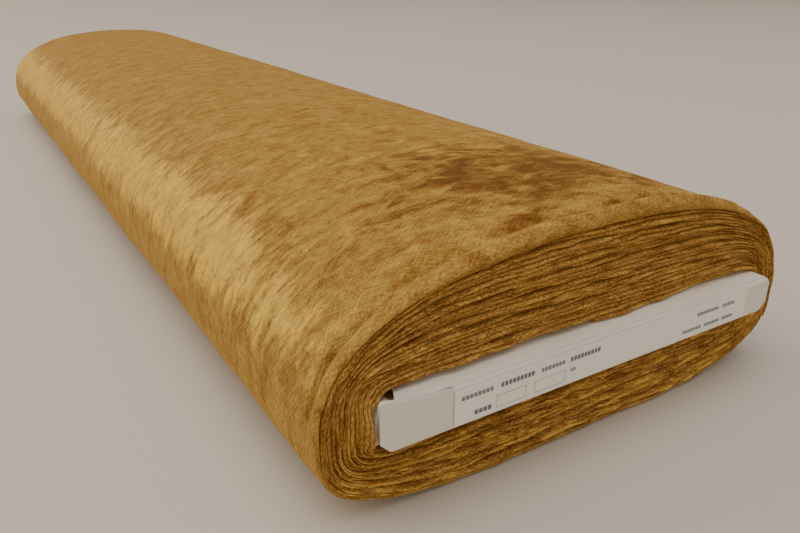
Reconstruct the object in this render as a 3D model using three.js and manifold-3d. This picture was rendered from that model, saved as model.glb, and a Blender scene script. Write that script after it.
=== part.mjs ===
// Fabric bolt: velvet folded once along its length and wound flat on a board sleeve.
// Millimetres. The origin is the bottom centre of the bolt: +Y runs along it, +X across it, +Z up.
import * as THREE from 'three';
import { mergeVertices } from 'three/addons/utils/BufferGeometryUtils.js';
import Module from 'manifold-3d';

const wasm = await Module();
wasm.setup();

// Wound cloth: how much of it lies over, under and beside the sleeve
const clothWidth = 750;         // along Y: a 1500 mm web folded in half
const overBuild = 40.5;
const underBuild = 28.1;
const sideBuild = 15.7;
const widestAboveSleeve = 2.5;  // height of the roll's widest line above the sleeve's underside
const topSquareness = 2.38;     // superellipse exponent: 2 is an ellipse, more is squarer
const bottomSquareness = 2.95;
const restDepth = 1.2;          // how much of the underside the roll's weight presses flat
const outlineStep = 4;          // degrees between the outline's points

// Loose outer end of the cloth
const tailThickness = 1.4;      // both layers of the folded web
const tailHingeAngle = 38;      // degrees above the widest line, on the +X flank
const tailEndAngle = -20;
const tailFadeAngle = 14;       // the turn below thickens again over this angle

// Board sleeve
const coreWidth = 181;
const boardThickness = 1.5;
const coreOverhang = 9.2;       // how far each end stands out of the cloth
const foldRadius = 2;           // on the middle of the board
const foldSteps = 4;            // straight pieces in each round fold
const jointFlapWidth = 30;
const notchAtEnd = 5;           // the top panel's free corner, at the end of the sleeve
const notchAtCloth = 10;        // and where it goes under the cloth
const notchBeyondCloth = 4;
const jointFlapSetback = 7;
const bottomSetback = 8;        // the bottom panel stops short of the closure

// End closures, dust flaps and tuck tabs
const closureHeight = 13.8;
const closureSideGap = 0.4;
const closureChamfer = 3.5;
const tabLength = 8;
const tabSideGap = 3;
const tabTaper = 5;
const tabDrop = 0.8;            // room under the tab for its tip to dip as the closure opens
const dustFlapLength = 35;
const dustFlapTaper = 3;
const dustOverTab = 0.5;

// Label, tape and clearances
const labelLeftMargin = 23.6;   // from the closure's own edges
const labelRightMargin = 14.6;
const labelEdge = 0.7;
const paperThickness = 0.2;
const tapeWidth = 40;
const tapeEndMargin = 25;       // from the cloth's edges
const contactGap = 0.3;         // between pieces that touch
const boardClearance = 0.8;     // between the sleeve and the cloth's first turn
const cutPast = 2;              // how far a cutting shape runs past the board it trims
const closest = 0.01;           // points of an outline nearer than this are one point

const coreBottom = underBuild;
const coreTop = coreBottom + boardThickness + tabDrop + closureHeight;
const coreEnd = clothWidth / 2 + coreOverhang;
const wallInner = coreWidth / 2 - boardThickness;
const closureBottom = coreTop - closureHeight;
const closureHalfWidth = wallInner - closureSideGap;
const rollHalfWidth = coreWidth / 2 + sideBuild;
const rollHeight = coreTop + overBuild;
const widestHeight = coreBottom + widestAboveSleeve;
const degree = Math.PI / 180;

const colours = {
  velvet: [0x9c7433, 0.85],
  whiteBoard: [0xcfc9bd, 0.75],
  kraftBoard: [0x9a7046, 0.85],
  paper: [0xdcd8d0, 0.6],
  tape: [0xc9b27c, 0.5],
};

const group = new THREE.Group();

function addPiece(name, geometry, finish) {
  const [color, roughness] = colours[finish];
  const mesh = new THREE.Mesh(geometry, new THREE.MeshStandardMaterial({ color, roughness, metalness: 0 }));
  mesh.name = name;
  group.add(mesh);
}

function shapeFrom(points) {
  return new THREE.Shape(points.map(([across, up]) => new THREE.Vector2(across, up)));
}

// A section drawn in X and Z, run along Y from start to end.
function runAlongY(shape, start, end) {
  const geometry = new THREE.ExtrudeGeometry(shape, { depth: end - start, bevelEnabled: false });
  geometry.rotateX(Math.PI / 2);
  return geometry.translate(0, end, 0);
}

// A plan drawn in X and Y, standing from the bottom height to the top one.
function standUp(shape, bottom, top) {
  const geometry = new THREE.ExtrudeGeometry(shape, { depth: top - bottom, bevelEnabled: false });
  return geometry.translate(0, 0, bottom);
}

function toSolid(geometry) {
  const bare = geometry.clone();
  bare.deleteAttribute('normal');
  bare.deleteAttribute('uv');
  const merged = mergeVertices(bare);
  const vertProperties = new Float32Array(merged.attributes.position.array);
  const triVerts = new Uint32Array(merged.index.array);
  return new wasm.Manifold(new wasm.Mesh({ numProp: 3, vertProperties, triVerts }));
}

function toGeometry(solid) {
  const mesh = solid.getMesh();
  const geometry = new THREE.BufferGeometry();
  geometry.setAttribute('position', new THREE.BufferAttribute(mesh.vertProperties, 3));
  geometry.setIndex(new THREE.BufferAttribute(mesh.triVerts, 1));
  geometry.computeVertexNormals();
  return geometry;
}

function cut(geometry, tools) {
  return toGeometry(tools.reduce((solid, tool) => solid.subtract(toSolid(tool)), toSolid(geometry)));
}

// A point of the roll's outline, drawn in by inset. The floor cuts the underside flat.
function outlinePoint(angle, inset) {
  const across = Math.cos(angle * degree);
  const up = Math.sin(angle * degree);
  const squareness = up >= 0 ? topSquareness : bottomSquareness;
  const reach = (Math.abs(across) ** squareness + Math.abs(up) ** squareness) ** (-1 / squareness);
  const rise = (up >= 0 ? rollHeight - widestHeight : widestHeight + restDepth) - inset;
  const height = widestHeight + rise * up * reach;
  return [(rollHalfWidth - inset) * across * reach, Math.max(height, 0)];
}

// Points of the outline between two angles, each drawn in by its own inset.
function outlineArc(from, to, insetAt) {
  const steps = Math.round(Math.abs(to - from) / outlineStep);
  return Array.from({ length: steps + 1 }, (_, i) => {
    const angle = from + (to - from) * i / steps;
    return outlinePoint(angle, insetAt(angle));
  });
}

function addCloth() {
  // the turn below steps down by the tail's thickness, just past the tail's hinge line
  const tailBed = tailThickness + contactGap;
  const tailGapAngle = contactGap / rollHalfWidth / degree * 2;
  const stepAngle = tailHingeAngle + tailGapAngle;
  const fadeStart = tailEndAngle - tailFadeAngle;
  const fade = angle => tailBed * (angle - fadeStart) / tailFadeAngle;
  const fadeUp = outlineArc(fadeStart, tailEndAngle, fade);
  const bed = outlineArc(tailEndAngle, stepAngle, () => tailBed);
  const free = outlineArc(stepAngle, 360 + fadeStart, () => 0);
  const outline = shapeFrom([...fadeUp, ...bed.slice(1), ...free.slice(0, -1)]);

  const boreHalf = coreWidth / 2 + boardClearance;
  const boreLow = coreBottom - boardClearance;
  const boreHigh = coreTop + boardClearance;
  outline.holes.push(shapeFrom([
    [-boreHalf, boreLow], [-boreHalf, boreHigh], [boreHalf, boreHigh], [boreHalf, boreLow],
  ]));
  addPiece('velvet_roll', runAlongY(outline, -clothWidth / 2, clothWidth / 2), 'velvet');

  const outside = outlineArc(tailEndAngle, tailHingeAngle, () => 0);
  const inside = outlineArc(tailHingeAngle, tailEndAngle, () => tailThickness);
  const tail = shapeFrom([...outside, ...inside]);
  addPiece('velvet_tail', runAlongY(tail, -clothWidth / 2, clothWidth / 2), 'velvet');
}

// A strip of board that follows a route through the middle of its thickness, with round folds.
function boardStrip(route) {
  const middle = new THREE.Path();
  middle.moveTo(...route[0]);
  for (let i = 1; i < route.length - 1; i += 1) {
    const corner = new THREE.Vector2(...route[i]);
    const back = new THREE.Vector2(...route[i - 1]).sub(corner).setLength(foldRadius).add(corner);
    const ahead = new THREE.Vector2(...route[i + 1]).sub(corner).setLength(foldRadius).add(corner);
    middle.lineTo(back.x, back.y);
    middle.quadraticCurveTo(corner.x, corner.y, ahead.x, ahead.y);
  }
  middle.lineTo(...route[route.length - 1]);
  const drawn = middle.getPoints(foldSteps);
  const points = drawn.filter((point, i) => i === 0 || point.distanceTo(drawn[i - 1]) > closest);
  const side = direction => points.map((point, i) => {
    const before = points[Math.max(i - 1, 0)];
    const after = points[Math.min(i + 1, points.length - 1)];
    const along = after.clone().sub(before).normalize();
    const offset = direction * boardThickness / 2;
    return [point.x - along.y * offset, point.y + along.x * offset];
  });
  return shapeFrom([...side(-1), ...side(1).reverse()]);
}

function addSleeve() {
  const half = boardThickness / 2;
  const left = -coreWidth / 2 + half;
  const right = -left;
  const top = coreTop - half;
  const bottom = coreBottom + half;
  const jointHeight = top - boardThickness - contactGap;
  const section = boardStrip([
    [left + jointFlapWidth, jointHeight], [left, jointHeight], [left, bottom], [right, bottom],
    [right, top], [left - half, top],
  ]);

  const freeEdge = -coreWidth / 2;
  const cuts = [];
  for (const end of [-1, 1]) {
    const clothEdge = end * clothWidth / 2;
    const inside = clothEdge - end * notchBeyondCloth;
    const outside = end * (coreEnd + cutPast);
    const slope = (notchAtCloth - notchAtEnd) / coreOverhang;
    const notch = shapeFrom([
      [freeEdge - cutPast, inside], [freeEdge + notchAtCloth, inside], [freeEdge + notchAtCloth, clothEdge],
      [freeEdge + notchAtEnd - slope * cutPast, outside], [freeEdge - cutPast, outside],
    ]);
    cuts.push(standUp(notch, coreTop - boardThickness - contactGap / 2, coreTop + cutPast));

    const flapEdge = end * (coreEnd - jointFlapSetback);
    const flapCut = shapeFrom([
      [-wallInner + half, flapEdge], [left + jointFlapWidth + cutPast, flapEdge],
      [left + jointFlapWidth + cutPast, outside], [-wallInner + half, outside],
    ]);
    cuts.push(standUp(flapCut, jointHeight - boardThickness, coreTop - boardThickness - contactGap / 2));

    const panelEdge = end * (coreEnd - bottomSetback);
    const panelCut = shapeFrom([
      [-wallInner, panelEdge], [wallInner, panelEdge], [wallInner, outside], [-wallInner, outside],
    ]);
    cuts.push(standUp(panelCut, coreBottom - cutPast, closureBottom));

    const seatDepth = end * (coreEnd - boardThickness - contactGap);
    const closureSeat = shapeFrom([
      [-wallInner, seatDepth], [wallInner, seatDepth], [wallInner, outside], [-wallInner, outside],
    ]);
    cuts.push(standUp(closureSeat, closureBottom - contactGap, coreTop + cutPast));
  }
  addPiece('core_sleeve', cut(runAlongY(section, -coreEnd, coreEnd), cuts), 'whiteBoard');
}

// Everything here is drawn at the near end (-Y) and turned half round for the far end.
function addEnd(prefix, turn) {
  const place = geometry => geometry.rotateZ(turn);
  const face = -coreEnd;
  const closure = shapeFrom([
    [-closureHalfWidth, closureBottom + closureChamfer], [-closureHalfWidth + closureChamfer, closureBottom],
    [closureHalfWidth - closureChamfer, closureBottom], [closureHalfWidth, closureBottom + closureChamfer],
    [closureHalfWidth, coreTop], [-closureHalfWidth, coreTop],
  ]);
  addPiece(`${prefix}_end_flap`, place(runAlongY(closure, face, face + boardThickness)), 'whiteBoard');

  const tabStart = face + boardThickness + contactGap;
  const tabEnd = face + boardThickness + tabLength;
  const tabHalf = closureHalfWidth - tabSideGap;
  const tab = shapeFrom([
    [-tabHalf, tabStart], [tabHalf, tabStart], [tabHalf - tabTaper, tabEnd], [-tabHalf + tabTaper, tabEnd],
  ]);
  addPiece(`${prefix}_tuck_tab`, place(standUp(tab, closureBottom, closureBottom + boardThickness)), 'kraftBoard');

  const dustLow = closureBottom + boardThickness + dustOverTab;
  const dustHigh = coreTop - 2 * (boardThickness + contactGap) - contactGap;
  const dustFace = face + boardThickness + closureSideGap;
  for (const [sideName, side] of [['left', -1], ['right', 1]]) {
    const root = side * (wallInner - contactGap);
    const tip = side * (wallInner - dustFlapLength);
    const corners = [
      [root, dustLow], [tip, dustLow + dustFlapTaper], [tip, dustHigh - dustFlapTaper], [root, dustHigh],
    ];
    const flap = shapeFrom(side < 0 ? corners : corners.reverse());
    const geometry = runAlongY(flap, dustFace, dustFace + boardThickness);
    addPiece(`${prefix}_dust_flap_${sideName}`, place(geometry), 'kraftBoard');
  }
}

function addLabel() {
  const left = -closureHalfWidth + labelLeftMargin;
  const right = closureHalfWidth - labelRightMargin;
  const low = closureBottom + labelEdge;
  const high = coreTop - labelEdge;
  const label = shapeFrom([[left, low], [right, low], [right, high], [left, high]]);
  const back = -coreEnd - contactGap;
  addPiece('label_sticker', runAlongY(label, back - paperThickness, back), 'paper');
}

function addTape() {
  const low = coreTop + contactGap;
  const end = clothWidth / 2 - tapeEndMargin;
  const side = tapeWidth / 2;
  const tape = shapeFrom([[-side, -end], [side, -end], [side, end], [-side, end]]);
  addPiece('start_tape', standUp(tape, low, low + paperThickness), 'tape');
}

addCloth();
addSleeve();
addEnd('near', 0);
addEnd('far', Math.PI);
addLabel();
addTape();

export default group;
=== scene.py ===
# Fabric bolt: crushed velvet folded once and wound flat on a sleeve of white-lined board.
import math

import bpy
import numpy as np
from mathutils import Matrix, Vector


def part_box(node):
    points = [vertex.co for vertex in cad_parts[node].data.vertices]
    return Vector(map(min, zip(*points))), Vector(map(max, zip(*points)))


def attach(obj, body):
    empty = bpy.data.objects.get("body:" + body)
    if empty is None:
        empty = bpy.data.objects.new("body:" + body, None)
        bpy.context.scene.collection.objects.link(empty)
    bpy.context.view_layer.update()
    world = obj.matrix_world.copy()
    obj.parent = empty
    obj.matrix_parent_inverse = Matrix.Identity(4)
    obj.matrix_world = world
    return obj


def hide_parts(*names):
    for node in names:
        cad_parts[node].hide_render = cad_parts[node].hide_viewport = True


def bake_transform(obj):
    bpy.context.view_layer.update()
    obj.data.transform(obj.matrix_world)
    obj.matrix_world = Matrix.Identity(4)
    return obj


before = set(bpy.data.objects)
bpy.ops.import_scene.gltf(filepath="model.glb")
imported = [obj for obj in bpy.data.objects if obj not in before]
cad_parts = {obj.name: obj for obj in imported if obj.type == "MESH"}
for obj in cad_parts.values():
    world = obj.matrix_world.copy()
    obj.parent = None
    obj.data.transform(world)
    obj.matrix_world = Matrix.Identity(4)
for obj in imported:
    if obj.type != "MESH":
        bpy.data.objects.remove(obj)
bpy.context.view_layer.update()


def mm(value):
    return value * 0.001


viewSetup = {
    "place": (mm(-174.7), mm(-531.7), mm(161.6)),
    "tiltDown": 0.4030,       # radians below the horizon
    "turn": -0.5534,          # radians from +Y, towards +X
    "roll": 0.0017,
    "lens": 32.8, "sensor": 36,
    "clipStart": 0.01,
}

cameraData = bpy.data.cameras.new("viewCamera")
cameraData.lens, cameraData.sensor_width = viewSetup["lens"], viewSetup["sensor"]
cameraData.clip_start = viewSetup["clipStart"]
viewCamera = bpy.data.objects.new("viewCamera", cameraData)
viewCamera.location = viewSetup["place"]
viewCamera.rotation_euler = (math.pi / 2 - viewSetup["tiltDown"], viewSetup["roll"], viewSetup["turn"])
bpy.context.scene.collection.objects.link(viewCamera)
bpy.context.scene.camera = viewCamera
print("camera placed")

waveLength = 0.314            # a wave texture of scale 1 repeats after this many metres: 2 pi / 20


def toLinear(hexColour, alpha=1.0):
    # the standard sRGB curve
    parts = [int(hexColour[i:i + 2], 16) / 255 for i in (0, 2, 4)]
    return tuple(p / 12.92 if p <= 0.04045 else ((p + 0.055) / 1.055) ** 2.4 for p in parts) + (alpha,)


def addNode(tree, kind, settings=None, links=None):
    # settings: attribute name or input name -> value; links: input name -> socket
    node = tree.nodes.new(kind)
    for key, value in (settings or {}).items():
        if isinstance(key, str) and hasattr(node, key):
            setattr(node, key, value)
        else:
            node.inputs[key].default_value = value
    for key, socket in (links or {}).items():
        tree.links.new(socket, node.inputs[key])
    return node


def newMaterial(name, surface):
    material = bpy.data.materials.new(name)
    material.use_nodes = True
    tree = material.node_tree
    tree.nodes.clear()
    shader = addNode(tree, "ShaderNodeBsdfPrincipled", surface)
    addNode(tree, "ShaderNodeOutputMaterial", links={"Surface": shader.outputs["BSDF"]})
    return material, tree, shader


def wear(nodeName, material):
    # give a CAD piece its finished material
    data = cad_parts[nodeName].data
    data.materials.clear()
    data.materials.append(material)


def softNoise(x, y, seed, size=256):
    # smooth noise from -1 to 1, one unit between its random points
    table = np.random.default_rng(seed).uniform(-1, 1, (size, size))
    x, y = np.broadcast_arrays(np.asarray(x, float), np.asarray(y, float))
    i, j = np.floor(x).astype(int), np.floor(y).astype(int)
    u, v = x - i, y - j
    u, v = u * u * (3 - 2 * u), v * v * (3 - 2 * v)
    i, j, nextI, nextJ = i % size, j % size, (i + 1) % size, (j + 1) % size
    near = table[i, j] * (1 - u) + table[nextI, j] * u
    far = table[i, nextJ] * (1 - u) + table[nextI, nextJ] * u
    return near * (1 - v) + far * v


def hill(value, middle, reach):
    # 1 at the middle, falling away smoothly on both sides
    return np.exp(-((value - middle) / reach) ** 2)


def lengthAlong(x, z):
    return np.concatenate([[0], np.cumsum(np.hypot(np.diff(x.ravel()), np.diff(z.ravel())))])


def gridMesh(name, points, uv, material, closedAcross=False):
    # points[station, across] are the corners; closedAcross joins the last column to the first
    rows, columns = points.shape[:2]
    index = np.arange(rows * columns).reshape(rows, columns)
    caps = [index[0, ::-1].tolist(), index[-1].tolist()] if closedAcross else []
    if closedAcross:
        index = np.concatenate([index, index[:, :1]], axis=1)
    faces = np.stack([index[:-1, :-1], index[1:, :-1], index[1:, 1:], index[:-1, 1:]], axis=-1)
    faces = faces.reshape(-1, 4)
    faces = (faces[:, ::-1] if closedAcross else faces).tolist() + caps     # a closed form faces outwards
    mesh = bpy.data.meshes.new(name)
    mesh.from_pydata(points.reshape(-1, 3).tolist(), [], faces)
    layer = mesh.uv_layers.new(name="clothUv")
    corners = uv.reshape(-1, 2)[[corner for face in faces for corner in face]]
    layer.data.foreach_set("uv", corners.astype(np.float32).reshape(-1))
    smooth = np.arange(len(faces)) < len(faces) - len(caps)     # the caps are flat
    mesh.polygons.foreach_set("use_smooth", smooth)
    mesh.materials.append(material)
    thing = bpy.data.objects.new(name, mesh)
    bpy.context.scene.collection.objects.link(thing)
    return thing


velvetLook = {
    # colours of the pile, by tone
    "tones": ((0.08, "603612"),        # pressed pile, seen end-on: deep and saturated
              (0.36, "885e26"),
              (0.6, "ac8843"),         # pile lying smooth
              (0.95, "e6ba50")),       # brightest pile, the colour of the painted sheen highlight along the -X shoulder
    "baseTone": 0.52, "edgeTone": 0.17, "strokedTone": 0.3, "pressedTone": -0.46,
    "roughness": 0.68, "gloss": 0.12, "sheen": 0.35, "sheenRoughness": 0.35,
    "glossTint": "e0b060", "sheenTint": "f2b84e", "foldTint": "fff5ff",
    # size along the web and across it, then the noise's detail, roughness and distortion
    "patterns": {
        "mottle": (mm(13), mm(9), 6, 0.68, 0.6),
        "streaks": (mm(13), mm(3.4), 4, 0.62, 0.5),
        "crumbs": (mm(4.5), mm(3), 4, 0.7, 0.8),
        "patches": (mm(17), mm(10), 6, 0.68, 0.7),
        "clumps": (mm(30), mm(20), 6, 0.66, 0.8),
        "tufts": (mm(1.1), mm(1.1), 2, 0.55, 0),
        "flecks": (mm(1.3), mm(0.6), 3, 0.7, 0),
    },
    # the level a pattern swings about, its weight, and what the folds and the painted sheen highlight add to
    # that
    "toning": {
        "mottle": (0.5, 0.75, 0.1, 0),
        "streaks": (0.5, 0.14, 0, 0.5),
        "tufts": (0.5, 0.35, 0, 0),
        "crumbs": (0.5, 0.7, 0, 0.4),
        "knit": (0.25, 0.12, 0, 0),
        "flecks": (0.6, 0, 1.7, 0),
        "clumps": (0.5, 0, 0.65, 0),
    },
    # the pressed pile's range, then the painted sheen highlight's range and area, and how streaks, clumps and
    # the painted sheen feather it
    "pressedRange": (-0.08, 0.2), "highlightRange": (0.74, 1.0), "highlightWhere": (0.02, 0.45),
    "highlightStreaks": 0.55, "highlightClumps": 0.75, "highlightSheen": 0.42,
    "ribSpacing": mm(1.6),     # real knit wales are 0.6 mm apart; drawn wider so that they show
    "ribSlant": 0.9, "ribWaver": 1.5,
    "dentDepth": mm(2), "dentStrength": 0.45, "dentCrumbs": 0.4, "dentStreaks": 0.4,
    "pileDepth": mm(0.45), "pileStrength": 0.5, "pileKnit": 0.35,
}


def makeVelvet():
    # crushed polyester velvet, a knitted pile pressed in patches: bright where the pile lies flat, and
    # deep where it stands; a painted sheen highlight lightens it along the -X shoulder and on the lower folds
    look = velvetLook
    material, tree, shader = newMaterial("crushedPolyesterVelvet", {
        "Roughness": look["roughness"], "Specular IOR Level": look["gloss"],
        "Specular Tint": toLinear(look["glossTint"]), "Sheen Weight": look["sheen"],
        "Sheen Roughness": look["sheenRoughness"], "Sheen Tint": toLinear(look["sheenTint"])})
    cloth = addNode(tree, "ShaderNodeUVMap", {"uv_map": "clothUv"}).outputs["UV"]

    found = {}
    for name, (length, width, detail, roughness, distortion) in look["patterns"].items():
        place = addNode(tree, "ShaderNodeMapping", {"Scale": (1 / length, 1 / width, 1)}, {"Vector": cloth})
        noise = addNode(tree, "ShaderNodeTexNoise", {"Scale": 1.0, "Detail": detail, "Roughness": roughness,
                                                     "Distortion": distortion},
                        {"Vector": place.outputs["Vector"]})
        found[name] = noise.outputs["Fac"]
    for name in ("crushAndDipShade", "paintedSheen", "edge"):
        found[name] = addNode(tree, "ShaderNodeAttribute", {"attribute_name": name}).outputs["Fac"]
    # the knit shows as two crossing sets of fine ribs
    for name, slant in (("ribUp", look["ribSlant"]), ("ribDown", -look["ribSlant"])):
        place = addNode(tree, "ShaderNodeMapping", {"Rotation": (0, 0, slant)}, {"Vector": cloth})
        rib = addNode(tree, "ShaderNodeTexWave",
                      {"bands_direction": "X", "Scale": waveLength / look["ribSpacing"],
                       "Distortion": look["ribWaver"], "Detail": 1.0}, {"Vector": place.outputs["Vector"]})
        found[name] = rib.outputs["Fac"]

    # each step of the sum: its name, what it does, then numbers or the names of earlier steps
    steps = [
        ("knit", "MULTIPLY", "ribUp", "ribDown"),
        ("standing", "SUBTRACT", "crushAndDipShade", "patches"),
        ("pressed", "SMOOTHSTEP", "standing", *look["pressedRange"]),
        # the painted sheen highlight, feathered by clumps and streaks
        ("clumped", "MULTIPLY", "clumps", look["highlightClumps"]),
        ("feather", "MULTIPLY_ADD", "streaks", look["highlightStreaks"], "clumped"),
        ("highlightSum", "MULTIPLY_ADD", "paintedSheen", look["highlightSheen"], "feather"),
        ("highlightShape", "SMOOTHSTEP", "highlightSum", *look["highlightRange"]),
        ("highlightArea", "SMOOTHSTEP", "paintedSheen", *look["highlightWhere"]),
        ("stroked", "MULTIPLY", "highlightShape", "highlightArea"),
    ]
    toneSoFar = look["baseTone"]
    for name, (middle, weight, atFolds, inHighlight) in look["toning"].items():
        steps += [
            (name + "Swing", "SUBTRACT", name, middle),
            (name + "Smooth", "MULTIPLY_ADD", "paintedSheen", inHighlight, weight),
            (name + "Weight", "MULTIPLY_ADD", "edge", atFolds, name + "Smooth"),
            (name + "Tone", "MULTIPLY_ADD", name + "Swing", name + "Weight", toneSoFar),
        ]
        toneSoFar = name + "Tone"
    steps += [
        ("folded", "MULTIPLY_ADD", "edge", look["edgeTone"], toneSoFar),
        # painted highlight: lightens the tone along the -X shoulder
        ("lightened", "MULTIPLY_ADD", "stroked", look["strokedTone"], "folded"),
        ("toned", "MULTIPLY_ADD", "pressed", look["pressedTone"], "lightened"),
        ("streaked", "MULTIPLY_ADD", "streaks", look["dentStreaks"], "mottle"),
        ("dented", "MULTIPLY_ADD", "crumbs", look["dentCrumbs"], "streaked"),
        ("woven", "MULTIPLY_ADD", "knit", look["pileKnit"], "tufts"),
    ]
    for name, action, *terms in steps:
        if action == "SMOOTHSTEP":
            kind, settings = "ShaderNodeMapRange", {"interpolation_type": action}
        else:
            kind, settings = "ShaderNodeMath", {"operation": action}
        settings.update({i: term for i, term in enumerate(terms) if not isinstance(term, str)})
        links = {i: found[term] for i, term in enumerate(terms) if isinstance(term, str)}
        found[name] = addNode(tree, kind, settings, links).outputs[0]

    ramp = addNode(tree, "ShaderNodeValToRGB", links={"Fac": found["toned"]})
    stops = ramp.color_ramp.elements
    (firstTone, firstColour), *between, (lastTone, lastColour) = look["tones"]
    stops[0].position, stops[0].color = firstTone, toLinear(firstColour)
    stops[1].position, stops[1].color = lastTone, toLinear(lastColour)
    for tone, colour in between:
        stops.new(tone).color = toLinear(colour)
    # light bounced between the turns' folds warms them
    warmed = addNode(tree, "ShaderNodeMix", {"data_type": "RGBA", "blend_type": "MULTIPLY",
                                             "B": toLinear(look["foldTint"])},
                     {"Factor": found["edge"], "A": ramp.outputs["Color"]})
    tree.links.new(warmed.outputs["Result"], shader.inputs["Base Color"])

    dents = addNode(tree, "ShaderNodeBump", {"Strength": look["dentStrength"], "Distance": look["dentDepth"]},
                    {"Height": found["dented"]})
    pile = addNode(tree, "ShaderNodeBump", {"Strength": look["pileStrength"], "Distance": look["pileDepth"]},
                   {"Height": found["woven"], "Normal": dents.outputs["Normal"]})
    tree.links.new(pile.outputs["Normal"], shader.inputs["Normal"])
    return material


velvet = makeVelvet()

coreLow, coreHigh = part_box("core_sleeve")
rollLow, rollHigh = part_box("velvet_roll")

winding = {
    "turns": 21 + 110 / 360,       # starts on top of the board, ends on the +X flank
    "stations": 360,               # in each turn
    "endAngle": -20,               # degrees above the widest line, where the loose end stops
    "widest": mm(30.6),
    "topSquareness": 2.38, "bottomSquareness": 2.95,   # superellipse exponents of the outline
    "boardSquareness": 12,         # the first turn follows the board's corners
    "rounding": 0.7,               # how soon the turns get rounder
    "pressedDepth": mm(1.2),
    "boardClearance": mm(0.5),
    "floorClearance": mm(0.15),
    "looseTurn": 0.12,             # share of the build that the slack last turn takes, over the top
    "looseBelow": 0.45,            # and how much of that slack is left at the sides and underneath
    "looseRise": 6,                # how soon that slack is taken up
    # the folded web's section, as shares of half its thickness
    "layerFace": 0.97, "layerGap": 0.08, "cutGap": 0.12,
    "foldInset": mm(2.5), "foldBulge": mm(2), "foldAngles": (60, 25, 0, -25, -60),
    "cutInset": mm(0.4), "cutFace": mm(4),
    "closeRows": (1, 1.8, 2.6, 3.4, 4.2, 5, 5.8, 6.6, 7.4, 8.4, 9.6, 11),     # mm from the folds
    # unevenness: each waver's spacing along the web in mm, its change from turn to turn, and its seed
    "beadRoughness": mm(1.4), "slackRoughness": 0.5,
    "nearReach": mm(9), "farReach": mm(6), "thinWeb": mm(1.4),
    "push": (30, 1.3, 3), "finePush": (7, 5.1, 4), "finePushShare": 0.6,
    "shift": (16, 2.7, 5), "fineShift": (4, 9.7, 6), "shiftShare": 0.28, "fineShiftShare": 0.12,
    "fray": (11, 4.3, 7), "frayShare": 0.7, "frayApart": 3,
    "pinch": (9, 6.1, 8), "pinchShare": 0.1,
}


def ringPoint(angle, share):
    # a point of the winding: share 0 is on the board, 1 is the outside
    shape = winding
    coreMiddle = (coreLow[2] + coreHigh[2]) / 2
    coreHalf = (coreHigh[2] - coreLow[2]) / 2 + shape["boardClearance"]
    across, up = np.cos(angle), np.sin(angle)
    over = up >= 0
    halfWidth = coreHigh[0] + shape["boardClearance"]
    halfWidth = halfWidth + (-rollLow[0] - halfWidth) * share
    middle = coreMiddle + (shape["widest"] - coreMiddle) * share
    riseOver = coreHalf + (rollHigh[2] - shape["widest"] - coreHalf) * share
    riseUnder = coreHalf + (shape["widest"] + shape["pressedDepth"] - coreHalf) * share
    outer = np.where(over, 1 / shape["topSquareness"], 1 / shape["bottomSquareness"])
    inner = 1 / shape["boardSquareness"]
    exponent = 1 / (inner + (outer - inner) * share ** shape["rounding"])
    reach = (np.abs(across) ** exponent + np.abs(up) ** exponent) ** (-1 / exponent)
    x = halfWidth * across * reach
    z = middle + np.where(over, riseOver, riseUnder) * up * reach
    return x, np.maximum(z, (1 - share) * (coreLow[2] - shape["boardClearance"]))


def shareAt(turn, angle):
    # how far out the cloth lies after so many turns; the last turn is slack and thick, most of all on top
    last, below = winding["turns"], winding["looseBelow"]
    loose = winding["looseTurn"] * (below + (1 - below) * np.clip(np.sin(angle), 0, 1))
    steady = (1 - loose) * np.minimum(turn, last) / last
    return steady + loose * (1 - (1 - np.clip(turn - last, 0, 1)) ** winding["looseRise"])


def middleRoute(turns):
    # the folded web's middle line, and from there to its outer face
    angle = np.radians(winding["endAngle"] + 360 * (winding["turns"] - turns))
    innerX, innerZ = ringPoint(angle, shareAt(turns, angle))
    outerX, outerZ = ringPoint(angle, shareAt(turns + 1, angle))
    return angle, (innerX + outerX) / 2, (innerZ + outerZ) / 2, (outerX - innerX) / 2, (outerZ - innerZ) / 2


creeping = {
    # the first turns creep out along the board at its -X fold, less so at the bottom
    "out": mm(9), "lessBelow": mm(3),
    "lowFrom": mm(34), "lowOver": mm(6),
    "highFrom": mm(48.5), "highOver": mm(7),
    "depth": 0.25,                 # share of the build
    "foldEdge": mm(1), "reach": mm(4), "widerBelow": mm(10),
    "rise": mm(2.2), "riseAt": mm(6),        # and rise under the closure
}


def creepOut(x, z, share):
    low = np.clip((creeping["lowFrom"] - z) / creeping["lowOver"], 0, 1)
    creep = creeping["out"] - creeping["lessBelow"] * low
    creep = creep * np.clip((creeping["highFrom"] - z) / creeping["highOver"], 0, 1)
    creep = creep * hill(share, 0, creeping["depth"])
    inwards = np.maximum(x - coreLow[0] - creeping["foldEdge"], 0)
    creep = creep * hill(inwards, 0, creeping["reach"] + creeping["widerBelow"] * low)
    return creep, creeping["rise"] * creep / creeping["riseAt"] * low


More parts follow.
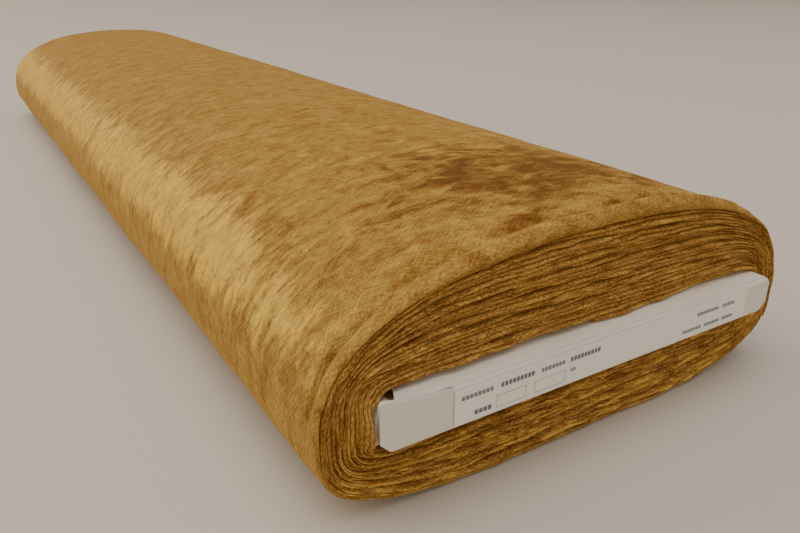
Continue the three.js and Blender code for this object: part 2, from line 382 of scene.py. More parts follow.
def windCloth(name, startTurn, endTurn, faceRows, wrinkle):
    # one stretch of the folded web: both layers, joined by the fold at the near end
    shape = winding
    stations = len(np.arange(startTurn, endTurn + 1e-9, 1 / shape["stations"]))
    turns = np.linspace(startTurn, endTurn, stations)[:, None]
    angle, middleX, middleZ, halfX, halfZ = middleRoute(turns)
    half = np.hypot(halfX, halfZ)
    earlier = np.append(np.arange(0, startTurn, 1 / shape["stations"]), startTurn)
    woundBefore = lengthAlong(*middleRoute(earlier)[1:3])[-1]
    along = lengthAlong(middleX, middleZ)[:, None] + woundBefore

    nearEdge, farEdge = rollLow[1], rollHigh[1]
    closeTo = nearEdge + mm(np.array(shape["closeRows"]))
    cutEdge, cutFace = farEdge - shape["cutInset"], farEdge - shape["cutFace"]
    insideFold = nearEdge + shape["foldInset"]
    face = np.concatenate([closeTo, np.linspace(closeTo[-1], cutEdge, faceRows)[1:]])
    back = np.array([nearEdge + mm(1), nearEdge + mm(5), 0, cutFace, cutEdge])
    bend = np.radians(shape["foldAngles"])
    # each column: side of the pair (1 outer, -1 inner), place along the bolt, bulge of the fold
    columns = [(shape["layerFace"], y, 0) for y in face[::-1]]
    columns += [(math.sin(t), nearEdge, math.cos(t)) for t in bend]
    columns += [(-shape["layerFace"], y, 0) for y in back]
    gap, cutGap = shape["layerGap"], shape["cutGap"]
    columns += [(-cutGap, cutEdge, 0), (-gap, cutFace, 0), (-gap, insideFold, 0),
                (gap, insideFold, 0), (gap, cutFace, 0), (cutGap, cutEdge, 0)]
    side, place, bulge = (np.array(column)[None, :] for column in zip(*columns))

    def waver(kind, apart=0):
        spacing, change, seed = shape[kind]
        return softNoise(along / mm(spacing), turns * change + apart, seed)

    nearEnd, farEnd = hill(place, nearEdge, shape["nearReach"]), hill(place, farEdge, shape["farReach"])
    rough = shape["beadRoughness"] * (1 if wrinkle is None else shape["slackRoughness"])
    push = rough * (waver("push") + shape["finePushShare"] * waver("finePush"))
    shift = shape["shiftShare"] * waver("shift") + shape["fineShiftShare"] * waver("fineShift")
    fray = rough * shape["frayShare"] * waver("fray", side * shape["frayApart"])
    pinch = 1 - shape["pinchShare"] * (1 + waver("pinch")) * nearEnd
    creep, rise = creepOut(middleX, middleZ, shareAt(turns, angle))
    across = side * pinch + shift * nearEnd * (half < shape["thinWeb"])
    x = middleX + halfX * across
    z = middleZ + halfZ * across + rise * nearEnd
    y = place - bulge * np.minimum(half, shape["foldBulge"]) + (push - creep) * nearEnd + fray * farEnd
    if wrinkle is not None:
        lift = wrinkle(along, place, angle) * (side > 0.9)     # on the outer face only
        x = x + halfX / half * lift
        z = z + halfZ / half * lift
    points = np.stack([x, y, np.maximum(z, shape["floorClearance"])], axis=-1)
    # the cloth's own coordinates run along the web, and from the fold to either cut edge
    flatSide = np.sign(side) * math.radians(75)
    roundFold = np.where(bulge > 0, np.arctan2(side, np.maximum(bulge, 1e-6)), flatSide)
    fromFold = np.sign(side) * (place - nearEdge) + 1.25 * half * roundFold
    uv = np.stack(np.broadcast_arrays(along, fromFold), axis=-1)
    return gridMesh(name, points, uv, velvet, closedAcross=True)


slack = {
    "broad": mm(0.5), "broadSize": (mm(45), mm(60)),
    "fine": mm(0.25), "fineSize": (mm(14), mm(22)),
    "calmer": 0.6, "calmReach": mm(8),             # towards the folds
    "crest": mm(1.1), "crestAt": mm(1.5), "crestReach": mm(2.4),
    "dip": mm(1.7), "dipAt": mm(6.6), "dipReach": mm(2.1),
    "uneven": 0.6, "unevenSize": mm(24), "topShare": 1.6,
}


def outerWrinkle(along, place, angle):
    # slack and soft dents in the last turn; over the top it bulges at the folds and dips behind them
    fromFolds = place - rollLow[1]
    calm = 1 - slack["calmer"] * hill(fromFolds, 0, slack["calmReach"])
    broad = slack["broad"] * softNoise(along / slack["broadSize"][0], place / slack["broadSize"][1], 11)
    fine = slack["fine"] * softNoise(along / slack["fineSize"][0], place / slack["fineSize"][1], 12)
    crest = slack["crest"] * hill(fromFolds, slack["crestAt"], slack["crestReach"])
    dip = slack["dip"] * hill(fromFolds, slack["dipAt"], slack["dipReach"])
    onTop = np.clip(np.sin(angle) * slack["topShare"], 0, 1)
    uneven = 1 + slack["uneven"] * softNoise(along / slack["unevenSize"], 0 * place, 13)
    return (broad + fine) * calm + onTop * (crest - dip) * uneven


pileState = {
    "openReach": mm(2.2),
    "crushAndDipShade": 0.31, "crushAbove": mm(45),
    # middle and reach across the bolt, middle and reach along it, and how much deeper
    "patch": (mm(12), mm(78), mm(-322), mm(48), 0.3),
    "faint": (mm(5), mm(45), mm(-205), mm(75), 0.09),
    # painted shadow: a dark line in the dip behind the folds' crest on top, stronger towards +X
    "dipShadeAt": mm(6.8), "dipShadeReach": mm(1.8), "dipShade": 0.16,
    "dipShadeFrom": mm(-50), "dipShadeOver": mm(60),
    "shoulderAt": mm(56), "shoulderReach": mm(13), "shoulderFrom": mm(-58), "shoulderOver": mm(16),
    # painted sheen highlight: its share at the folds and the length it grows over, then how much is painted
    # on the lower folds at the labelled end
    "sheenAtFolds": 0.25, "sheenOver": mm(80),
    "openSheen": 0.4, "openBelow": mm(40), "openOver": mm(25),
}


def paintPile(thing, openness):
    # the crush attribute: where the pile is pressed deepest, on top near the labelled end and towards +X,
    # plus a painted shadow line in the dip behind the folds' crest
    # then a painted sheen highlight along the -X shoulder, and on the lower folds at the labelled end
    # edge: the folds at the labelled end, where the pile stands open
    mesh, state = thing.data, pileState
    co = np.empty(len(mesh.vertices) * 3)
    mesh.vertices.foreach_get("co", co)
    x, y, z = co.reshape(-1, 3).T
    fromFolds = y - rollLow[1]
    edge = openness * hill(np.maximum(fromFolds, 0), 0, state["openReach"])
    deeper = 0
    for kind in ("patch", "faint"):
        middleX, reachX, middleY, reachY, depth = state[kind]
        deeper = deeper + depth * hill(x, middleX, reachX) * hill(y, middleY, reachY)
    # painted shadow in the dip behind the crest, fading out towards -X
    dipShade = hill(fromFolds, state["dipShadeAt"], state["dipShadeReach"])
    dipShade = dipShade * np.clip((x - state["dipShadeFrom"]) / state["dipShadeOver"], 0, 1)
    deeper = deeper + state["dipShade"] * dipShade
    crushAndDipShade = state["crushAndDipShade"] + deeper * (1 - edge) * (z > state["crushAbove"])
    # painted sheen highlight along the -X shoulder, stronger away from the folds, and on the lower folds at
    # the labelled end
    shoulder = hill(z, state["shoulderAt"], state["shoulderReach"])
    shoulder = shoulder * np.clip((state["shoulderFrom"] - x) / state["shoulderOver"], 0, 1)
    sheenShare = state["sheenAtFolds"]
    paintedSheen = shoulder * (sheenShare + (1 - sheenShare) * np.clip(fromFolds / state["sheenOver"], 0, 1))
    paintedSheen = paintedSheen + state["openSheen"] * edge * np.clip((state["openBelow"] - z) / state["openOver"], 0, 1)
    for name, values in (("crushAndDipShade", crushAndDipShade), ("paintedSheen", paintedSheen), ("edge", edge)):
        attribute = mesh.attributes.new(name, "FLOAT", "POINT")
        attribute.data.foreach_set("value", values.astype(np.float32))


pieces = {
    "tailLength": 80 / 360,            # turns
    "innerRows": 5, "outerRows": 240,
    "innerOpenness": 1.0, "outerOpenness": 0.35,
    "downFlank": (0.42, 0, -0.907),
    "bendBefore": mm(9), "bendAfter": mm(14),
}
lastTurn = winding["turns"]
tailStart = lastTurn - pieces["tailLength"]
innerTurns = windCloth("velvet_inner_turns", 0, lastTurn - 1, pieces["innerRows"], None)
outerTurn = windCloth("velvet_last_turn", lastTurn - 1, tailStart, pieces["outerRows"], outerWrinkle)
looseEnd = windCloth("velvet_loose_end", tailStart, lastTurn, pieces["outerRows"], outerWrinkle)
paintPile(innerTurns, pieces["innerOpenness"])
paintPile(outerTurn, pieces["outerOpenness"])
paintPile(looseEnd, pieces["outerOpenness"])
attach(innerTurns, "root")
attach(outerTurn, "root")
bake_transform(looseEnd)
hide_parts("velvet_roll")
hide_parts("velvet_tail")
print("velvet wound")

boardLook = {
    "liner": "f3ead6", "linerShade": "ebe1cc",           # clay-coated liner, slightly warm; the lighter copy, lifted as painted light so the top panel reads bright
    "shadedLiner": "e1d9c9", "shadedLinerDark": "d7cebc",   # a darker, greyer copy for the closures: painted shade on their upright faces
    "kraft": "a67c50", "kraftDark": "7d5833",
    "linerRoughness": 0.55, "linerGloss": 0.35, "linerStrength": 0.35, "linerDepth": mm(0.06),
    "kraftRoughness": 0.8, "kraftGloss": 0.2, "kraftStrength": 0.5, "kraftDepth": mm(0.12),
    "flapRoughness": 0.65, "flapGloss": 0.25, "flapStrength": 0.4, "flapDepth": mm(0.08),
    "cloud": mm(22), "fibre": mm(0.5), "fibreShare": 0.5,
    "kraftFibre": mm(1.1), "kraftStretch": 0.25, "kraftRough": 0.7, "kraftRange": (0.3, 0.8),
    "flutePitch": mm(3.2), "fluteWaver": 0.4, "cutWaver": 1.2, "cutShare": 0.4,
    "perforation": mm(2.4), "perforationWidth": mm(0.35), "perforationDark": 0.55,
    "linerFacing": 0.2,
}


def makeLiner(name, perforated):
    # clay-coated white liner over fine flutes: matt, with the flutes' washboard just showing through
    look = boardLook
    material, tree, shader = newMaterial(name, {"Roughness": look["linerRoughness"],
                                                "Specular IOR Level": look["linerGloss"]})
    place = addNode(tree, "ShaderNodeTexCoord").outputs["Object"]
    cloudy = addNode(tree, "ShaderNodeTexNoise", {"Scale": 1 / look["cloud"], "Detail": 4}, {"Vector": place})
    fibres = addNode(tree, "ShaderNodeTexNoise", {"Scale": 1 / look["fibre"], "Detail": 2}, {"Vector": place})
    # the closures get the darker copy of the liner: painted shade
    dark, light = ("shadedLinerDark", "shadedLiner") if perforated else ("linerShade", "liner")
    tone = addNode(tree, "ShaderNodeMix", {"data_type": "RGBA", "A": toLinear(look[dark]),
                                           "B": toLinear(look[light])}, {"Factor": cloudy.outputs["Fac"]})
    colour = tone.outputs["Result"]
    if perforated:
        # short cuts through the liner, in a row along the crease; the sheet's V runs away from the crease
        flat = addNode(tree, "ShaderNodeUVMap", {"uv_map": "clothUv"})
        sheet = addNode(tree, "ShaderNodeSeparateXYZ", links={"Vector": flat.outputs["UV"]})
        atCrease = addNode(tree, "ShaderNodeMath", {"operation": "COMPARE", 1: 0.0,
                                                    2: look["perforationWidth"] / 2}, {0: sheet.outputs["Y"]})
        count = addNode(tree, "ShaderNodeMath", {"operation": "DIVIDE", 1: look["perforation"]},
                        {0: sheet.outputs["X"]})
        part = addNode(tree, "ShaderNodeMath", {"operation": "FRACT"}, {0: count.outputs[0]})
        dash = addNode(tree, "ShaderNodeMath", {"operation": "LESS_THAN", 1: 0.5}, {0: part.outputs[0]})
        cut = addNode(tree, "ShaderNodeMath", {"operation": "MULTIPLY"},
                      {0: dash.outputs[0], 1: atCrease.outputs[0]})
        faded = addNode(tree, "ShaderNodeMath", {"operation": "MULTIPLY", 1: look["perforationDark"]},
                        {0: cut.outputs[0]})
        cutTone = addNode(tree, "ShaderNodeMix", {"data_type": "RGBA", "B": toLinear(look["kraftDark"])},
                          {"Factor": faded.outputs[0], "A": colour})
        colour = cutTone.outputs["Result"]
    tree.links.new(colour, shader.inputs["Base Color"])
    washboard = addNode(tree, "ShaderNodeTexWave",
                        {"bands_direction": "X", "Scale": waveLength / look["flutePitch"],
                         "Distortion": look["fluteWaver"]}, {"Vector": place})
    relief = addNode(tree, "ShaderNodeMath", {"operation": "MULTIPLY_ADD", 1: look["fibreShare"]},
                     {0: fibres.outputs["Fac"], 2: washboard.outputs["Fac"]})
    bump = addNode(tree, "ShaderNodeBump",
                   {"Strength": look["linerStrength"], "Distance": look["linerDepth"]},
                   {"Height": relief.outputs[0]})
    tree.links.new(bump.outputs["Normal"], shader.inputs["Normal"])
    return material


def makeKraft(name, fluted):
    # unbleached kraft liner; where the board is cut, the flutes show as light and dark steps
    look = boardLook
    material, tree, shader = newMaterial(name, {"Roughness": look["kraftRoughness"],
                                                "Specular IOR Level": look["kraftGloss"]})
    place = addNode(tree, "ShaderNodeTexCoord").outputs["Object"]
    stretched = addNode(tree, "ShaderNodeMapping", {"Scale": (1, look["kraftStretch"], 1)},
                        {"Vector": place})
    fibres = addNode(tree, "ShaderNodeTexNoise",
                     {"Scale": 1 / look["kraftFibre"], "Detail": 4, "Roughness": look["kraftRough"]},
                     {"Vector": stretched.outputs["Vector"]})
    height = fibres.outputs["Fac"]
    if fluted:
        flutes = addNode(tree, "ShaderNodeTexWave",
                         {"bands_direction": "X", "Scale": waveLength / look["flutePitch"],
                          "Distortion": look["cutWaver"]}, {"Vector": place})
        both = addNode(tree, "ShaderNodeMath", {"operation": "MULTIPLY_ADD", 1: look["cutShare"]},
                       {0: fibres.outputs["Fac"], 2: flutes.outputs["Fac"]})
        height = both.outputs[0]
    ramp = addNode(tree, "ShaderNodeValToRGB", links={"Fac": height})
    for stop, position, colour in zip(ramp.color_ramp.elements, look["kraftRange"], ("kraftDark", "kraft")):
        stop.position, stop.color = position, toLinear(look[colour])
    tree.links.new(ramp.outputs["Color"], shader.inputs["Base Color"])
    bump = addNode(tree, "ShaderNodeBump",
                   {"Strength": look["kraftStrength"], "Distance": look["kraftDepth"]},
                   {"Height": height})
    tree.links.new(bump.outputs["Normal"], shader.inputs["Normal"])
    return material


def makeFlapBoard():
    # a cut flap of the same board: liner on its outward face, brown kraft behind and on the cut edges
    look = boardLook
    material, tree, shader = newMaterial("whiteLinedKraftBoard", {"Roughness": look["flapRoughness"],
                                                                  "Specular IOR Level": look["flapGloss"]})
    coordinates = addNode(tree, "ShaderNodeTexCoord")
    facing = addNode(tree, "ShaderNodeSeparateXYZ", links={"Vector": coordinates.outputs["Normal"]})
    place = addNode(tree, "ShaderNodeSeparateXYZ", links={"Vector": coordinates.outputs["Object"]})
    outward = addNode(tree, "ShaderNodeMath", {"operation": "MULTIPLY"},
                      {0: facing.outputs["Y"], 1: place.outputs["Y"]})
    underside = addNode(tree, "ShaderNodeMath", {"operation": "MULTIPLY", 1: -1.0},
                        {0: facing.outputs["Z"]})
    lined = addNode(tree, "ShaderNodeMath", {"operation": "MAXIMUM"},
                    {0: outward.outputs[0], 1: underside.outputs[0]})
    isLiner = addNode(tree, "ShaderNodeMath", {"operation": "GREATER_THAN", 1: look["linerFacing"]},
                      {0: lined.outputs[0]})
    fibres = addNode(tree, "ShaderNodeTexNoise",
                     {"Scale": 1 / look["kraftFibre"], "Detail": 4, "Roughness": look["kraftRough"]},
                     {"Vector": coordinates.outputs["Object"]})
    kraft, liner = (addNode(tree, "ShaderNodeMix", {"data_type": "RGBA", "A": toLinear(look[dark]),
                                                    "B": toLinear(look[light])},
                            {"Factor": fibres.outputs["Fac"]}).outputs["Result"]
                    for dark, light in (("kraftDark", "kraft"), ("linerShade", "liner")))
    either = addNode(tree, "ShaderNodeMix", {"data_type": "RGBA"},
                     {"Factor": isLiner.outputs[0], "A": kraft, "B": liner})
    tree.links.new(either.outputs["Result"], shader.inputs["Base Color"])
    bump = addNode(tree, "ShaderNodeBump",
                   {"Strength": look["flapStrength"], "Distance": look["flapDepth"]},
                   {"Height": fibres.outputs["Fac"]})
    tree.links.new(bump.outputs["Normal"], shader.inputs["Normal"])
    return material


whiteLiner = makeLiner("whiteCoatedLiner", perforated=False)
creasedLiner = makeLiner("shadedWhiteLinerPerforated", perforated=True)
kraftLiner = makeKraft("unbleachedKraftLiner", fluted=False)
cutBoard = makeKraft("cutCorrugatedEdge", fluted=True)

closureLow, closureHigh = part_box("near_end_flap")
board = {
    "thickness": closureHigh[1] - closureLow[1],
    "foldRadius": mm(3.4), "edgeSoftness": mm(0.2), "softAbove": 50,      # degrees
    "sleeveSpacing": mm(3), "closureSpacing": mm(1.2),
    "jointFlap": mm(30), "jointSetback": mm(1.8), "jointGap": mm(0.3),
    "creaseSetback": mm(1.8),          # where the top panel hands over to the closure's crease
    "wallSetback": mm(2.4), "wallFold": mm(1.2), "wallTaper": mm(3),   # the walls' ends fold round
    "bottomSetback": mm(8), "bottomRise": mm(4.5),
    "notchAtEnd": mm(5), "notchAtCloth": mm(10), "notchBeyond": mm(4), "notchReach": mm(22),
    "creaseRadius": mm(1.1), "chamfer": mm(3.5), "cornerRadius": mm(2.2), "cornerShare": 0.8,
    "overWall": mm(0.2),
    "slitEnd": mm(-65), "slitWidth": mm(0.8), "tongue": mm(3.6), "tongueReach": mm(24),
    "stripOverlap": mm(0.1), "stripFade": mm(0.3),
    "perforationFrom": mm(2.1), "perforationOff": mm(20), "creaseReach": mm(2.2),
    # rows of corners, in mm from an end or a side, close together where the shape turns
    "sleeveRows": (0, 0.4, 0.8, 1.2, 1.6, 2, 3, 4, 6, 8, 10, 12, 13, 14.2, 16, 20, 30),
    "closureRows": (0, 0.3, 0.7, 1.2, 1.8, 2.4, 3, 3.6, 5, 6.5, 8),
    "closureMiddle": (12, 165, 4),     # first, last, step
}


def boardPiece(name, points, uv, liner, rim):
    # board about a middle surface: liner outside, kraft inside; rim 2 shows flutes, 0 is crushed white
    thing = gridMesh(name, points, uv, liner)
    thing.data.materials.append(kraftLiner)
    thing.data.materials.append(cutBoard)
    solid = thing.modifiers.new("thickness", "SOLIDIFY")
    solid.thickness, solid.offset, solid.use_even_offset = board["thickness"], 0, True
    solid.material_offset, solid.material_offset_rim = 1, rim
    softened = thing.modifiers.new("softEdges", "BEVEL")
    softened.width, softened.segments, softened.limit_method = board["edgeSoftness"], 2, "ANGLE"
    softened.angle_limit = math.radians(board["softAbove"])
    return thing


def bentPath(corners, radius, spacing, cornerPoints=7):
    # closely spaced points along a route with round corners
    path = [np.array(corners[0], float)]
    for i in range(1, len(corners) - 1):
        corner = np.array(corners[i], float)
        toLast, toNext = np.array(corners[i - 1]) - corner, np.array(corners[i + 1]) - corner
        start = corner + toLast / np.linalg.norm(toLast) * radius
        end = corner + toNext / np.linalg.norm(toNext) * radius
        for t in np.linspace(0, 1, cornerPoints):
            path.append((1 - t) ** 2 * start + 2 * t * (1 - t) * corner + t ** 2 * end)
    path.append(np.array(corners[-1], float))
    dense = []
    for a, b in zip(path[:-1], path[1:]):
        count = max(1, int(np.linalg.norm(b - a) / spacing))
        dense += [a + (b - a) * i / count for i in range(count)]
    return np.array(dense + [path[-1]])


def makeSleeve():
    half = board["thickness"] / 2
    left, right = coreLow[0] + half, coreHigh[0] - half
    top, bottom = coreHigh[2] - half, coreLow[2] + half
    joint = top - board["thickness"] - board["jointGap"]
    route = bentPath([(coreLow[0], top), (right, top), (right, bottom), (left, bottom), (left, joint),
                      (left + board["jointFlap"], joint)], board["foldRadius"], board["sleeveSpacing"])
    x, z = route[:, 0][:, None], route[:, 1][:, None]
    length = lengthAlong(x, z)[:, None]
    onJoint = length[-1] - length < board["jointFlap"] - board["foldRadius"]
    onTop = (z > top - mm(0.6)) & (length < length[-1] / 2)
    onBottom = z < bottom + mm(0.01)
    lowShare = np.clip((bottom + board["bottomRise"] - z) / board["bottomRise"], 0, 1)
    wallSetback = board["wallSetback"] + (board["bottomSetback"] - board["wallSetback"]) * lowShare
    setback = np.select([onJoint, onTop], [board["jointSetback"], board["creaseSetback"]], wallSetback)
    end = coreHigh[1]
    fine = mm(np.array(board["sleeveRows"]))
    inset = np.concatenate([fine, [0.2, 0.3, end], [0.3, 0.2], fine[::-1]])[None, :]
    side = np.concatenate([-np.ones(len(fine) + 3), np.ones(len(fine) + 2)])[None, :]
    # the walls' ends turn inwards, round the folds of the dust flaps
    upWall = np.clip(np.minimum(top - z, z - bottom) / board["wallTaper"], 0, 1)
    flat = np.where(onJoint | onBottom | onTop, 0, upWall)
    radius = board["wallFold"]
    arc = radius * math.pi / 2
    turned = np.clip((arc - inset) / radius, 0, math.pi / 2)
    pulled = flat * (radius * (np.sin(turned) - 1) + np.minimum(inset, arc)) * (1 - inset / end)
    y = side * (end - setback - inset * (1 - setback / end) + pulled)
    x = x - np.sign(x) * flat * radius * (1 - np.cos(turned))
    # the top panel's free corner is cut back on a slant
    fromEnd = end - np.abs(y)
    overhang = end - rollHigh[1]
    deeper = board["notchAtCloth"] - board["notchAtEnd"]
    slant = board["notchAtEnd"] + deeper * np.clip(fromEnd / overhang, 0, 1)
    slant = np.where(fromEnd > overhang + board["notchBeyond"], 0, slant)
    fromFree = np.clip((x - coreLow[0]) / board["notchReach"], 0, 1)
    x = np.where(onTop, x + slant * (1 - fromFree), x)
    points = np.stack(np.broadcast_arrays(x, y, z), axis=-1)
    uv = np.stack(np.broadcast_arrays(length, y), axis=-1)
    sleeve = boardPiece("board_sleeve", points, uv, whiteLiner, 2)
    # the joint flap is scored through its liner, so its face is bare kraft
    columns = points.shape[1] - 1
    for polygon in sleeve.data.polygons:
        if onJoint[polygon.index // columns, 0]:
            polygon.material_index = 1
    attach(sleeve, "root")
    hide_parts("core_sleeve")


def makeClosure(prefix, turn):
    # the end closure with its crease: it bends out of the top panel and folds down over the end
    low, high = np.array(closureLow), closureHigh
    low[0] = coreLow[0] + board["overWall"]      # on its tongue side it covers the wall's folded end
    half = board["thickness"] / 2
    top, face = high[2] - half, low[1] + half
    fromTop = low[1] + board["creaseSetback"] + board["stripOverlap"]
    route = bentPath([(fromTop, top), (face, top), (face, low[2])], board["creaseRadius"],
                     board["closureSpacing"])
    straight, edge = mm(np.arange(*board["closureMiddle"])), mm(np.array(board["closureRows"]))
    atSlit = board["slitEnd"] - np.array([board["slitWidth"], 0])
    x = np.sort(np.concatenate([low[0] + edge, low[0] + straight, atSlit, high[0] - edge]))[:, None]
    y, z = route[:, 0][None, :], route[:, 1][None, :]
    away = lengthAlong(y, z)[None, :]
    onStrip = np.clip(1 - away / (board["creaseSetback"] + board["stripFade"]), 0, 1)
    # beyond the slit the closure isn't creased: it stands up a little past the top panel as a tongue
    beyond = board["slitEnd"] - x
    free = np.clip(beyond / board["slitWidth"], 0, 1)
    rise = board["tongue"] * np.clip(beyond / board["tongueReach"], 0, 1) ** 2
    y = y + (face - y) * free
    z = z + free * onStrip * (rise + half)
    fromSide = np.minimum(x - low[0], high[0] - x)
    # slanted lower corners and rounded upper ones
    down = np.clip((top - z) / (top - low[2]), 0, 1)
    z = z + np.maximum(board["chamfer"] - fromSide, 0) * down ** 2
    soft = board["cornerRadius"]
    drop = soft - np.sqrt(np.maximum(soft ** 2 - np.maximum(soft - fromSide, 0) ** 2, 0))
    z = z - drop * (1 - down) ** 2 * board["cornerShare"]
    points = np.stack(np.broadcast_arrays(x, y, z), axis=-1)
    fromCrease = away - board["perforationFrom"] + board["perforationOff"] * free
    uv = np.stack(np.broadcast_arrays(x, fromCrease), axis=-1)
    if turn:
        points = points * np.array([-1, -1, 1])
    piece = boardPiece(f"board_{prefix}_closure", points[::-1], uv[::-1], creasedLiner, 0)
    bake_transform(piece)
    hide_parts(f"{prefix}_end_flap")


makeSleeve()
makeClosure("near", False)
makeClosure("far", True)
flapBoard = makeFlapBoard()
for prefix in ("near", "far"):
    for ending in ("tuck_tab", "dust_flap_left", "dust_flap_right"):
        wear(f"{prefix}_{ending}", flapBoard)
print("board folded")

labelLook = {
    "paper": "f0e9dc", "paperShade": "e6dece",
    "paperRoughness": 0.65, "paperGloss": 0.3, "fibre": mm(0.7), "relief": 0.3, "reliefDepth": mm(0.03),
    "boldInk": "2e2e30", "fineInk": "5a5a5c", "ruledInk": "8d8a86", "thinInk": "8c8a88",
    "inkRoughness": 0.5, "inkSpeckle": mm(0.4), "inkHeight": mm(0.03),
    # marks in mm, from the bolt's middle and the closure's lower edge: left, right, bottom, height
    "boldBars": ((-18.5, -5, 8.9, 1.7), (-47.5, -34, 8.9, 1.7), (-57.5, -51, 2.4, 1.7)),
    "fineBars": ((-62.5, -50.5, 8.9, 1.5), (-31, -21, 8.9, 1.5), (-18, -16, 5, 1.4), (59.5, 66.5, 8.3, 1.4),
                 (45, 57, 8.3, 1.4), (60.5, 66.5, 2.8, 1.4), (50, 58.5, 2.8, 1.4), (38, 48, 2.8, 1.4)),
    "boxes": ((-49, -37, 2, 4.4), (-33.5, -20.5, 2, 4.4)),
    "block": 1.2, "gap": 0.32, "line": 0.2,
}


def makePaper():
    # uncoated label paper: matt, a little smoother and cooler than the board it is stuck to
    look = labelLook
    material, tree, shader = newMaterial("uncoatedLabelPaper", {"Roughness": look["paperRoughness"],
                                                                "Specular IOR Level": look["paperGloss"]})
    place = addNode(tree, "ShaderNodeTexCoord").outputs["Object"]
    fibres = addNode(tree, "ShaderNodeTexNoise", {"Scale": 1 / look["fibre"], "Detail": 3}, {"Vector": place})
    tone = addNode(tree, "ShaderNodeMix", {"data_type": "RGBA", "A": toLinear(look["paperShade"]),
                                           "B": toLinear(look["paper"])}, {"Factor": fibres.outputs["Fac"]})
    tree.links.new(tone.outputs["Result"], shader.inputs["Base Color"])
    bump = addNode(tree, "ShaderNodeBump", {"Strength": look["relief"], "Distance": look["reliefDepth"]},
                   {"Height": fibres.outputs["Fac"]})
    tree.links.new(bump.outputs["Normal"], shader.inputs["Normal"])
    return material


def makeInk(name, colour):
    # toner on paper: dark grey, slightly broken up by the paper's fibres
    look = labelLook
    material, tree, shader = newMaterial(name, {"Roughness": look["inkRoughness"]})
    place = addNode(tree, "ShaderNodeTexCoord").outputs["Object"]
    speckle = addNode(tree, "ShaderNodeTexNoise", {"Scale": 1 / look["inkSpeckle"], "Detail": 2},
                      {"Vector": place})
    tone = addNode(tree, "ShaderNodeMix", {"data_type": "RGBA", "A": toLinear(look[colour]),
                                           "B": toLinear(look["thinInk"])},
                   {"Factor": speckle.outputs["Fac"]})
    tree.links.new(tone.outputs["Result"], shader.inputs["Base Color"])
    return material


def wordBlocks(left, right, bottom, height):
    # short even blocks in a row: they stand where a printed label has words, and say nothing
    block, gap = labelLook["block"], labelLook["gap"]
    count = max(1, round((right - left + gap) / (block + gap)))
    step = (right - left + gap) / count
    return [(left + i * step, bottom, left + (i + 1) * step - gap, bottom + height) for i in range(count)]


def boxOutline(left, right, bottom, height):
    line, top = labelLook["line"], bottom + height
    return [(left, bottom, right, bottom + line), (left, top - line, right, top),
            (left, bottom, left + line, top), (right - line, bottom, right, top)]


def makePrint(name, marks, ink):
    # flat printed marks, each left, bottom, right, top
    verts, faces = [], []
    y = labelLow[1] - labelLook["inkHeight"]
    for left, bottom, right, top in marks:
        start = len(verts)
        corners = [(left, bottom), (right, bottom), (right, top), (left, top)]
        verts += [(mm(a), y, closureLow[2] + mm(b)) for a, b in corners]
        faces.append((start, start + 1, start + 2, start + 3))
    mesh = bpy.data.meshes.new(name)
    mesh.from_pydata(verts, [], faces)
    mesh.materials.append(ink)
    thing = bpy.data.objects.new(name, mesh)
    bpy.context.scene.collection.objects.link(thing)
    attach(thing, "near_closure")


wear("label_sticker", makePaper())
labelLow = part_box("label_sticker")[0]
prints = (("label_bold_bars", "boldBars", wordBlocks, "blackToner", "boldInk"),
          ("label_fine_bars", "fineBars", wordBlocks, "greyToner", "fineInk"),
          ("label_boxes", "boxes", boxOutline, "ruledToner", "ruledInk"))
for name, places, draw, inkName, ink in prints:
    makePrint(name, [mark for place in labelLook[places] for mark in draw(*place)], makeInk(inkName, ink))
print("label printed")

tapeLook = {"light": "cdb780", "dark": "b89f68", "crepe": mm(0.8), "waver": 3, "roughness": 0.6}


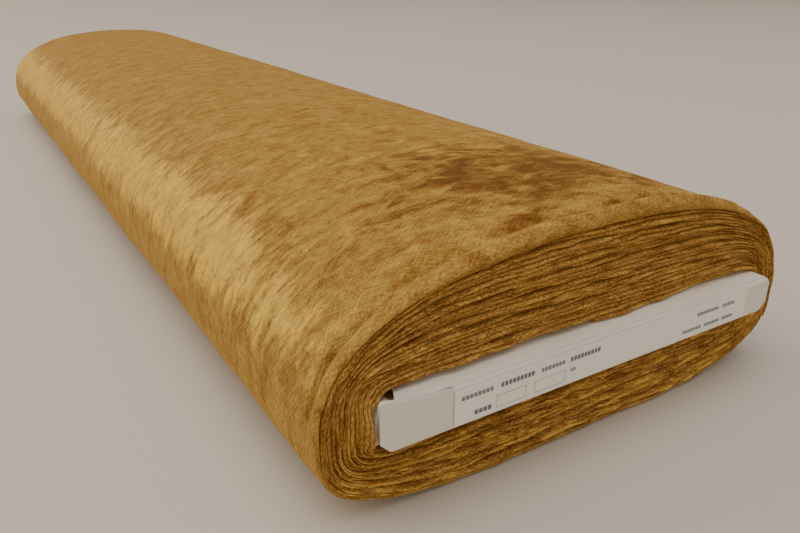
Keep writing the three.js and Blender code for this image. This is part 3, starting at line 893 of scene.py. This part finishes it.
def makeTape():
    # crepe masking tape: matt tan paper in fine uneven crinkles
    look = tapeLook
    material, tree, shader = newMaterial("crepeMaskingTape", {"Roughness": look["roughness"]})
    place = addNode(tree, "ShaderNodeTexCoord").outputs["Object"]
    crepe = addNode(tree, "ShaderNodeTexWave", {"bands_direction": "Y", "Scale": waveLength / look["crepe"],
                                                "Distortion": look["waver"]}, {"Vector": place})
    tone = addNode(tree, "ShaderNodeMix", {"data_type": "RGBA", "A": toLinear(look["dark"]),
                                           "B": toLinear(look["light"])}, {"Factor": crepe.outputs["Fac"]})
    tree.links.new(tone.outputs["Result"], shader.inputs["Base Color"])
    return material


wear("start_tape", makeTape())
print("tape stuck")

studio = {
    "floorSize": 80, "floorPaper": "cbc0af", "floorRoughness": 0.8,
    "air": "c9c3bd", "airStrength": 0.74,
    "lights": {
        "windowBehind": {"place": (-2.8, 3.8, 2.6), "size": 3.4, "power": 125, "colour": "fff4e4"},
        "skyAbove": {"place": (-0.5, -0.6, 3.2), "size": 3.4, "power": 70, "colour": "f8f6ff"},
        "roomFront": {"place": (-1.4, -4.8, 2.0), "size": 3.2, "power": 38, "colour": "fff6ea"},
    },
}
floorMaterial = newMaterial("paleSeamlessPaper", {"Base Color": toLinear(studio["floorPaper"]),
                                                  "Roughness": studio["floorRoughness"]})[0]
bpy.ops.mesh.primitive_plane_add(size=studio["floorSize"], location=(0, 0, 0))
floor = bpy.context.object
floor.name = "studioFloor"
floor.data.materials.append(floorMaterial)

world = bpy.data.worlds.new("studioAir")
world.use_nodes = True
background = world.node_tree.nodes["Background"]
background.inputs["Color"].default_value = toLinear(studio["air"])
background.inputs["Strength"].default_value = studio["airStrength"]
bpy.context.scene.world = world

for name, plan in studio["lights"].items():
    data = bpy.data.lights.new(name, "AREA")
    data.shape, data.size, data.energy = "SQUARE", plan["size"], plan["power"]
    data.color = toLinear(plan["colour"])[:3]
    lamp = bpy.data.objects.new(name, data)
    lamp.location = plan["place"]
    aim = -np.array(plan["place"])         # at the bolt
    sideways = math.hypot(aim[0], aim[1])
    lamp.rotation_euler = (math.atan2(sideways, -aim[2]), 0, math.atan2(aim[1], aim[0]) - math.pi / 2)
    bpy.context.scene.collection.objects.link(lamp)
print("studio lit")
